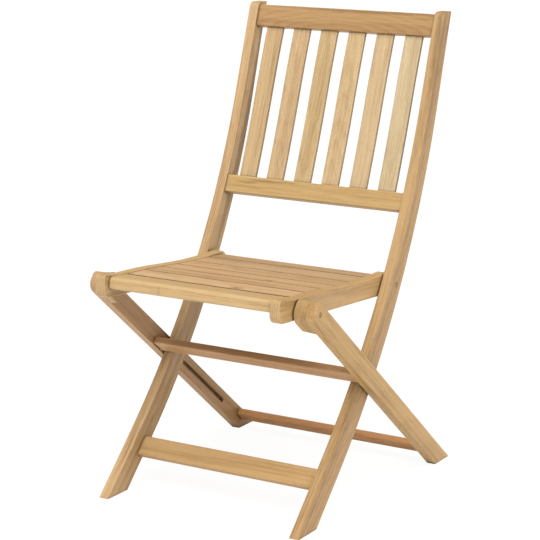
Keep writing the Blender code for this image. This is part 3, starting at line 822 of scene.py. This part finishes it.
# Wood settings. contrast, rings, veins, wear, the crevice shade, end and the side shade are
# strengths; both shades are painted, in the gaps between boards and on the faces square to the
# side shade's axis. spacing and sway are the growth rings' width and wander in metres. axis is
# along the board. A mark is a knot, a dark streak or a patch of painted shade.
DEFAULT_LOOK = {
    "contrast": 0.66, "rings": 0.11, "spacing": 0.0046, "sway": 0.006, "veins": 0.22,
    "wear": 0.35, "crevice_shade": 0.85, "marks": (),
    "axis": (1.0, 0.0, 0.0), "end": 0.40, "end_tone": (0.84, (1.0, 0.95, 0.88)),
    "side_shade_axis": (1.0, 0.0, 0.0), "side_shade": 0.0, "side_shade_range": (0.70, 0.97),
}
# Painted shade: the side strength darkens the back slats' side faces, and the seat slats' front and
# back faces in the gaps between them.
SLAT_LOOK = {"rings": 0.07, "contrast": 0.64, "sway": 0.004, "veins": 0.18, "side_shade": 0.55}
SEAT_LOOK = {
    "rings": 0.12, "contrast": 0.92, "veins": 0.36, "wear": 0.10,
    "side_shade_axis": (0.0, 1.0, 0.0), "side_shade": 0.95, "side_shade_range": (0.15, 0.60),
}
PALE_END_LOOK = {"end": 0.75, "end_tone": (1.10, (1.0, 1.08, 1.28))}
LOOKS = {
    "top_back_rail": {
        "contrast": 0.50, "heart": (-0.040, 0.0054, 0.27), "spacing": 0.0088, "rings": 0.13,
        "sway": 0.008, "marks": ((0.05, 0.0190, 0.0095, 0.26, 0.0055, 0.45),)},
    "lower_back_rail": {
        "contrast": 0.46, "rings": 0.05, "marks": (
            (-0.110, 0.0105, 0.0095, 0.050, 0.0040, 0.60),
            (-0.150, 0.0050, 0.0095, 0.030, 0.0040, 0.55),
            (-0.060, 0.0125, 0.0095, 0.030, 0.0030, 0.45))},
    "front_stretcher": {"contrast": 0.50, "rings": 0.07},
    # Both posts: the side strength paints shade on their inner and outer faces.
    "left_post": {
        "contrast": 1.0, "side_shade": 0.11, "marks": (
            # Painted shadow of the first back slat on the rear half of the post's inner face.
            (0.80, 0.0250, -0.197, 0.34, 0.0110, 0.80),
            (0.110, 0.0, -0.204, 0.055, 0.0032, 0.60),
            (0.30, 0.004, -0.197, 0.12, 0.0040, 0.55))},
    "right_post": {
        "contrast": 1.0, "side_shade": 0.05, "marks": (
            (0.95, 0.004, 0.217, 0.24, 0.0120, 0.55),
            (1.02, -0.0045, 0.211, 0.16, 0.0080, 0.45),
            (0.62, 0.010, 0.217, 0.20, 0.0050, 0.30),
            (0.330, 0.0, 0.206, 0.060, 0.0026, 0.55),
            (0.260, 0.0, 0.213, 0.050, 0.0022, 0.45))},
    "right_rear_leg": {
        "contrast": 0.80, "marks": (
            (0.006, -0.0185, 0.2390, 0.018, 0.0034, 0.62),
            (0.033, -0.0190, 0.2368, 0.018, 0.0032, 0.62),
            (0.060, -0.0193, 0.2315, 0.020, 0.0032, 0.58))},
    "front_seat_slat": {"marks": ((-0.065, -0.0289, -0.0010, 0.0035, 0.0120, 0.35),)},
    "seat_slat_1": {"marks": ((0.056, -0.0165, 0.0060, 0.015, 0.0100, 0.80),)},
    "seat_slat_3": {"marks": ((0.060, -0.0180, 0.0060, 0.014, 0.0090, 0.80),)},
    # Painted shade from the seat on the stop bar's narrow upper face, all along it.
    "stop_bar": {"marks": ((0.0, -0.0190, 0.0, 0.60, 0.0085, 0.52),)},
}
for number in range(1, BACK_SLAT_COUNT + 1):
    LOOKS["back_slat_" + str(number)] = SLAT_LOOK
for number in range(1, SEAT_SLAT_COUNT + 1):
    node = "seat_slat_" + str(number)
    LOOKS[node] = {**SEAT_LOOK, **LOOKS.get(node, {})}
LOOKS["rear_seat_slat"] = SEAT_LOOK
for node in ("left_seat_rail", "right_seat_rail", "left_leg_head_block", "left_rear_leg"):
    LOOKS[node] = PALE_END_LOOK


def look_for(name, **changes):
    """Settings of one board's wood: the defaults, its own tone, and a seeded place in the tree."""
    look = dict(DEFAULT_LOOK)
    look["shift"] = tuple(rng.uniform(-GRAIN_SHIFT, GRAIN_SHIFT) for _ in range(3))
    side = rng.choice((-1.0, 1.0))
    look["heart"] = (rng.uniform(-HEART_ASIDE, HEART_ASIDE), side * rng.uniform(*HEART_AWAY),
                     rng.uniform(-HEART_LEAN, HEART_LEAN))
    look["tone"] = shade(linear(TONES.get(name, TONES["plug"])), GAIN)
    look.update(LOOKS.get(name, {}))
    look.update(changes)
    return look


# --- Pieces -------------------------------------------------------------------------------------

def dress(item, node, body, slot, place, **changes):
    """Give a wooden piece its grain, finish, shading, body and CAD node. slot is not used."""
    look = look_for(node, **changes)
    set_grain(item, place, look)
    item.data.shade_smooth()
    item.data.set_sharp_from_angle(angle=SHARP)
    even = item.modifiers.new("even_normals", "WEIGHTED_NORMAL")
    even.keep_sharp = True
    item.data.materials.clear()
    item.data.materials.append(teak(node + "_teak", look))
    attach(item, body)
    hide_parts(node)


def crossboard(node, centre, angle, length, thickness, half_span, body, slot,
               radii=(EDGE_RADIUS,) * 4):
    """A board across the chair, rounded along its four edges."""
    outline = placed(rounded_box(length / 2.0, thickness / 2.0, radii), centre, angle)
    span = half_span - (SLAT_SEAM if slot == "teak_seat" else SEAM)
    shape = skin([across(outline, -span), across(outline, span)], [point[2] for point in outline])

    def place(x, y, z):
        dy, dz = y - centre[0], z - centre[1]
        return x, dy * cos(angle) + dz * sin(angle), dz * cos(angle) - dy * sin(angle)

    dress(mesh_object(node + "_wood", shape), node, body, slot, place)


def sides():
    """Both sides of the chair with the sign of X."""
    return (("left", -1.0), ("right", 1.0))


def post_grain(x, y, z):
    """Distance up a post, behind its front edge and through it."""
    run, depth = post_place(y, z)
    return run, depth, x


def make_posts():
    """The two curved posts, drilled for the seat pivot and its plug."""
    pairs = post_pairs()
    axis = (0.0, cos(POST_MEAN_ANGLE), sin(POST_MEAN_ANGLE))
    for side, sign in sides():
        node = side + "_post"
        rings = []
        for front, back in pairs:
            near = across((front, back), sign * POST_IN)
            far = across((back, front), sign * POST_OUT)
            rings.append(near + far)
        post = mesh_object(node + "_wood", round_edges(skin(rings), EDGE_RADIUS))
        carve(post, pivot_tools(SEAT_PIVOT, sign, POST_IN, POST_OUT))
        dress(post, node, "post_frame", "teak_frame", post_grain, axis=axis)


def make_back_frame():
    """The two back rails and the front stretcher."""
    boards = (("top_back_rail", TOP_RAIL_Z, 0.0, RAIL_THICKNESS, "teak_back"),
              ("lower_back_rail", LOWER_RAIL_Z, 0.0, RAIL_THICKNESS, "teak_back"),
              ("front_stretcher", FRONT_STRETCHER_Z, FRONT_STRETCHER_SETBACK,
               FRONT_STRETCHER_THICKNESS, "teak_frame"))
    for node, heights, setback, thickness, slot in boards:
        centre, angle, length = between(post_front(heights[0]), post_front(heights[1]),
                                        setback + thickness / 2.0)
        crossboard(node, centre, angle, length, thickness, POST_IN, "post_frame", slot)


def slat_ring(z, reach, x_middle):
    """One cross-section of a back slat, and its wear. reach is 0 at half height, 1 at the ends."""
    angle = post_angle(z)
    setback = BACK_SLAT_SETBACK[1] + (BACK_SLAT_SETBACK[0] - BACK_SLAT_SETBACK[1]) * reach
    centre = along(post_front(z), angle - pi / 2.0, setback + BACK_SLAT_THICKNESS / 2.0)
    section = rounded_box(BACK_SLAT_WIDTH / 2.0, BACK_SLAT_THICKNESS / 2.0, (SLIM_RADIUS,) * 4)
    ring = []
    for u, v, _ in section:
        y, height = along(centre, angle - pi / 2.0, v)
        ring.append((x_middle + u, y - MIDDLE_Y, height))
    return ring, [point[2] for point in section]


def make_back_slats(steps=24):
    """Six gently curved upright slats between the back rails."""
    low, high = LOWER_RAIL_Z[1], TOP_RAIL_Z[0]
    axis = (0.0, cos(POST_BACK_ANGLE), sin(POST_BACK_ANGLE))
    pitch = (2.0 * (POST_IN - BACK_SLAT_OUTER_GAP) - BACK_SLAT_WIDTH) / (BACK_SLAT_COUNT - 1)
    for i in range(BACK_SLAT_COUNT):
        x_middle = -POST_IN + BACK_SLAT_OUTER_GAP + i * pitch + BACK_SLAT_WIDTH / 2.0
        rings = []
        for j in range(steps + 1):
            share = j / steps
            ring, wear = slat_ring(low + (high - low) * share, 4.0 * (share - 0.5) ** 2, x_middle)
            rings.append(ring)
        node = "back_slat_" + str(i + 1)

        def place(x, y, z):
            run, depth = post_place(y, z)
            return run, x - x_middle, depth

        slat = mesh_object(node + "_wood", skin(rings, wear))
        dress(slat, node, "post_frame", "teak_back", place, axis=axis)


def make_seat_slats():
    """Front slat with its round nose, five equal slats and the rear slat."""
    runs = [("front_seat_slat", *FRONT_SLAT, FRONT_SLAT_THICKNESS, FRONT_SLAT_RADII)]
    start = FRONT_SLAT[1][0] + SEAT_SLAT_GAP
    for i in range(SEAT_SLAT_COUNT):
        end = start + SEAT_SLAT_PITCH - SEAT_SLAT_GAP
        runs.append(("seat_slat_" + str(i + 1), slat_top(start), slat_top(end),
                     SEAT_SLAT_THICKNESS, SLAT_RADII))
        start += SEAT_SLAT_PITCH
    runs.append(("rear_seat_slat", slat_top(start), REAR_SLAT_END,
                 REAR_SLAT_THICKNESS, SLAT_RADII))
    for node, first, last, thickness, radii in runs:
        centre, angle, length = between(first, last, thickness / 2.0)
        crossboard(node, centre, angle, length, thickness, SEAT_RAIL_IN, "seat", "teak_seat", radii)


def seat_rail_grain(x, y, z):
    """Distance along a seat rail, above its middle and through it."""
    across_rail = z * cos(SEAT_RAIL_SLOPE) - y * sin(SEAT_RAIL_SLOPE) - SEAT_RAIL_LEVEL
    return y * cos(SEAT_RAIL_SLOPE) + z * sin(SEAT_RAIL_SLOPE), across_rail, x


def make_seat_rails():
    """The two scooped seat rails, drilled for both pivots."""
    outline = seat_rail_outline()
    axis = (0.0, cos(SEAT_RAIL_SLOPE), sin(SEAT_RAIL_SLOPE))
    for side, sign in sides():
        node = side + "_seat_rail"
        rings = [across(outline, sign * SEAT_RAIL_IN), across(outline, sign * SEAT_RAIL_OUT)]
        rail = mesh_object(node + "_wood", round_edges(skin(rings), EDGE_RADIUS))
        carve(rail, [round_tool(centre, PIN_BORE_RADIUS, sign * PIN_INNER_END,
                                sign * (SEAT_RAIL_OUT + TOOL_OVERSHOOT))
                     for centre in (SEAT_PIVOT, LEG_PIVOT)])
        dress(rail, node, "seat", "teak_seat", seat_rail_grain, axis=axis)


def leg_grain(x, y, z):
    """Distance down a leg, across it and through it."""
    dy, dz = y - LEG_PIVOT[0], z - LEG_PIVOT[1]
    return dy * cos(LEG_TILT) - dz * sin(LEG_TILT), dy * sin(LEG_TILT) + dz * cos(LEG_TILT), x


def make_legs():
    """Rear legs with their grooves and head blocks, the stop bar and the rear stretcher."""
    axis = (0.0, cos(LEG_TILT), -sin(LEG_TILT))
    half_groove = (GROOVE_S[1] - GROOVE_S[0]) / 2.0
    groove = placed(rounded_box(half_groove, GROOVE_WIDTH / 2.0, (GROOVE_RADIUS,) * 4, 6),
                    leg_point(sum(GROOVE_S) / 2.0, 0.0), -LEG_TILT)
    outline = leg_outline()
    for side, sign in sides():
        node = side + "_rear_leg"
        rings = [across(outline, sign * LEG_IN), across(outline, sign * LEG_OUT)]
        leg = mesh_object(node + "_wood", round_edges(skin(rings), EDGE_RADIUS, sign * LEG_IN))
        channel = bar_tool(groove, sign * (LEG_IN - TOOL_OVERSHOOT), sign * (LEG_IN + GROOVE_DEPTH))
        carve(leg, [channel] + pivot_tools(LEG_PIVOT, sign, LEG_IN, LEG_OUT))
        dress(leg, node, "rear_legs", "teak_legs", leg_grain, axis=axis)
        make_head_block(side, sign, axis)
    for node, s_range, t_range in (("stop_bar", STOP_BAR_S, STOP_BAR_T),
                                   ("rear_stretcher", REAR_STRETCHER_S, REAR_STRETCHER_T)):
        centre = leg_point(sum(s_range) / 2.0, sum(t_range) / 2.0)
        crossboard(node, centre, -LEG_TILT, s_range[1] - s_range[0], t_range[1] - t_range[0],
                   LEG_IN, "rear_legs", "teak_legs")


def make_head_block(side, sign, axis):
    """The block that thickens a leg's head up to the seat rail, sloped at its lower end."""
    node = side + "_leg_head_block"
    near = across(leg_head(HEAD_BLOCK_LENGTH_IN, HEAD_BLOCK_FLARE), sign * HEAD_BLOCK_IN)
    face = sign * (LEG_IN - HEAD_BLOCK_SEAM)
    far = across(leg_head(HEAD_BLOCK_LENGTH_OUT), face)
    block = mesh_object(node + "_wood", round_edges(skin([near, far]), SLIM_RADIUS, face))
    carve(block, [round_tool(LEG_PIVOT, PIN_BORE_RADIUS, sign * (HEAD_BLOCK_IN - TOOL_OVERSHOOT),
                             sign * (LEG_IN + TOOL_OVERSHOOT))])
    dress(block, node, "rear_legs", "teak_legs", leg_grain, axis=axis)


def make_plugs():
    """Round wooden plugs that cover the pins, slightly domed and set a little below the surface."""
    plugs = (("seat_pivot_plug", SEAT_PIVOT, POST_OUT, "post_frame", "teak_frame"),
             ("leg_pivot_plug", LEG_PIVOT, LEG_OUT, "rear_legs", "teak_legs"))
    for label, centre, face, body, slot in plugs:
        for side, sign in sides():
            node = side + "_" + label
            rings = []
            for radius, x in ((PLUG_RADIUS, face - PLUG_LENGTH),
                              (PLUG_RADIUS, face - PLUG_RECESS - PLUG_RIM),
                              (PLUG_RADIUS - PLUG_BEVEL, face - PLUG_RECESS),
                              (PLUG_DOME_RADIUS, face - PLUG_RECESS + PLUG_DOME_RISE)):
                rings.append(across(circle(centre, radius), sign * x))

            def place(x, y, z):
                return x, y - centre[0], z - centre[1]

            dress(mesh_object(node + "_wood", skin(rings)), node, body, slot, place)


def finish_steel():
    """The CAD pins and washers stay, in stainless steel."""
    metal = steel()
    for node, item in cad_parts.items():
        if node.endswith(("_pin", "_washer")):
            item.data.materials.clear()
            item.data.materials.append(metal)


# --- Studio -------------------------------------------------------------------------------------

def make_floor():
    """A wide plain floor under the chair."""
    shape = bmesh.new()
    shape.faces.new([shape.verts.new((x * FLOOR_REACH, y * FLOOR_REACH, 0.0))
                     for x, y in ((-1, -1), (1, -1), (1, 1), (-1, 1))])
    floor = mesh_object("studio_floor", shape)
    floor.data.materials.append(white_floor())


def make_light():
    """White surroundings, dimmer and warmer behind, and one large soft light high in front.

    The camera itself sees only plain white.
    """
    world = bpy.data.worlds.new("studio")
    world.use_nodes = True
    bpy.context.scene.world = world
    tree = world.node_tree
    seen = tree.nodes.new("ShaderNodeLightPath").outputs["Is Camera Ray"]
    direction = tree.nodes.new("ShaderNodeSeparateXYZ")
    tree.links.new(tree.nodes.new("ShaderNodeTexCoord").outputs["Generated"], direction.inputs[0])
    span = (direction.outputs["Y"], -AMBIENT_REACH, AMBIENT_REACH)
    glow = ramp(tree, *span, AMBIENT_FRONT, AMBIENT_BACK)
    background = tree.nodes["Background"]
    behind = ramp(tree, *span)
    unseen = maths(tree, "SUBTRACT", 1.0, seen)
    tint = blend(tree, maths(tree, "MULTIPLY", behind, unseen), (1.0, 1.0, 1.0), WARM_FILL)
    tree.links.new(tint, background.inputs["Color"])
    extra = maths(tree, "MULTIPLY", seen, maths(tree, "SUBTRACT", BACKDROP, glow))
    tree.links.new(maths(tree, "ADD", glow, extra), background.inputs["Strength"])
    light = bpy.data.lights.new("key", "SUN")
    light.energy = KEY_ENERGY
    light.angle = KEY_ANGLE
    lamp = bpy.data.objects.new("key", light)
    towards = Vector((sin(KEY_AZIMUTH) * cos(KEY_ELEVATION),
                      -cos(KEY_AZIMUTH) * cos(KEY_ELEVATION), sin(KEY_ELEVATION)))
    lamp.rotation_euler = towards.to_track_quat("Z", "Y").to_euler()
    bpy.context.scene.collection.objects.link(lamp)
    bpy.context.scene.view_settings.view_transform = "Standard"


def make_camera():
    """Long-lens camera above the chair's front right."""
    data = bpy.data.cameras.new("camera")
    data.sensor_width = SENSOR
    data.lens = CAMERA_LENS
    data.shift_x = -CAMERA_SHIFT
    data.shift_y = CAMERA_SHIFT
    forward = Vector((-sin(CAMERA_YAW) * cos(CAMERA_PITCH),
                      cos(CAMERA_YAW) * cos(CAMERA_PITCH), -sin(CAMERA_PITCH)))
    level = Vector((cos(CAMERA_YAW), sin(CAMERA_YAW), 0.0))
    rise = level.cross(forward)
    right = level * cos(CAMERA_ROLL) + rise * sin(CAMERA_ROLL)
    up = rise * cos(CAMERA_ROLL) - level * sin(CAMERA_ROLL)
    position = (CAMERA_POSITION[0], CAMERA_POSITION[1] - MIDDLE_Y, CAMERA_POSITION[2])
    camera = bpy.data.objects.new("camera", data)
    rows = [(right[i], up[i], -forward[i], position[i]) for i in range(3)]
    camera.matrix_world = Matrix(rows + [(0, 0, 0, 1)])
    bpy.context.scene.collection.objects.link(camera)
    bpy.context.scene.camera = camera


make_camera()
make_light()
make_floor()
make_posts()
make_back_frame()
make_back_slats()
make_seat_slats()
make_seat_rails()
make_legs()
make_plugs()
finish_steel()
